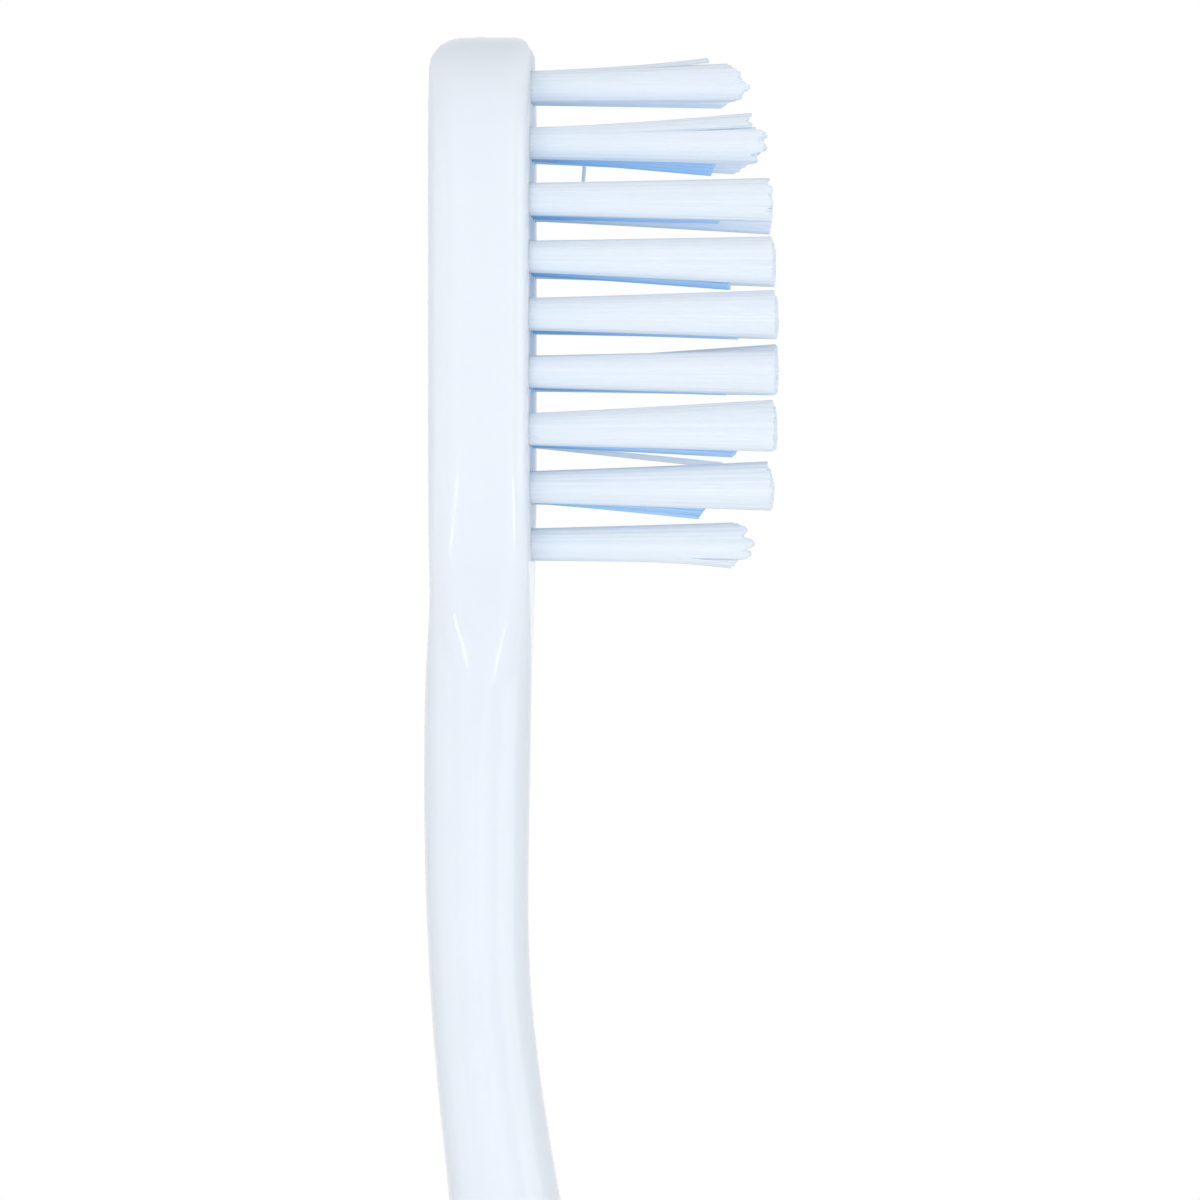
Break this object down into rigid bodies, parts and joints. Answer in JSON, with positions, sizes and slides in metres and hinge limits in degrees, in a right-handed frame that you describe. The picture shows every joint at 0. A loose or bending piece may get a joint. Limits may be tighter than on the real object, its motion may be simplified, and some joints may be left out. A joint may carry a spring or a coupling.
{
  "type": "manual toothbrush",
  "caption": "Manual toothbrush with a straight head, a slim bent neck, a one-piece moulded handle and round tufts of white and blue bristles on metal anchors.",
  "frame": {"origin": "centre of the small flat at the end of the handle", "axes": "+Z runs along the brush from the handle's end to the top of the head, +X is the way the bristles point, and Y runs across the width"},
  "size_m": [0.0159, 0.0124, 0.1901],
  "materials": {
    "body_plastic": "glossy, slightly translucent injection-moulded plastic in a very pale blue",
    "white_nylon": "satin white nylon filaments",
    "blue_nylon": "satin light-blue nylon filaments",
    "anchor_metal": "plain drawn flat wire"
  },
  "bodies": {
    "root": {"brush_body": "body_plastic", "tuft_row1_left": "white_nylon", "tuft_row1_right": "white_nylon", "tuft_row2_left": "white_nylon", "tuft_row2_middle": "blue_nylon", "tuft_row2_right": "white_nylon", "tuft_row3_outer_left": "white_nylon", "tuft_row3_inner_left": "blue_nylon", "tuft_row3_inner_right": "blue_nylon", "tuft_row3_outer_right": "white_nylon", "tuft_row4_outer_left": "white_nylon", "tuft_row4_inner_left": "blue_nylon", "tuft_row4_inner_right": "blue_nylon", "tuft_row4_outer_right": "white_nylon", "tuft_row5_outer_left": "white_nylon", "tuft_row5_inner_left": "blue_nylon", "tuft_row5_inner_right": "blue_nylon", "tuft_row5_outer_right": "white_nylon", "tuft_row6_outer_left": "white_nylon", "tuft_row6_inner_left": "blue_nylon", "tuft_row6_inner_right": "blue_nylon", "tuft_row6_outer_right": "white_nylon", "tuft_row7_outer_left": "white_nylon", "tuft_row7_inner_left": "blue_nylon", "tuft_row7_inner_right": "blue_nylon", "tuft_row7_outer_right": "white_nylon", "tuft_row8_left": "white_nylon", "tuft_row8_middle": "blue_nylon", "tuft_row8_right": "white_nylon", "tuft_row9_left": "white_nylon", "tuft_row9_right": "white_nylon", "anchors_row1": "anchor_metal", "anchors_row2": "anchor_metal", "anchors_row3": "anchor_metal", "anchors_row4": "anchor_metal", "anchors_row5": "anchor_metal", "anchors_row6": "anchor_metal", "anchors_row7": "anchor_metal", "anchors_row8": "anchor_metal", "anchors_row9": "anchor_metal"}
  },
  "joints": []
}
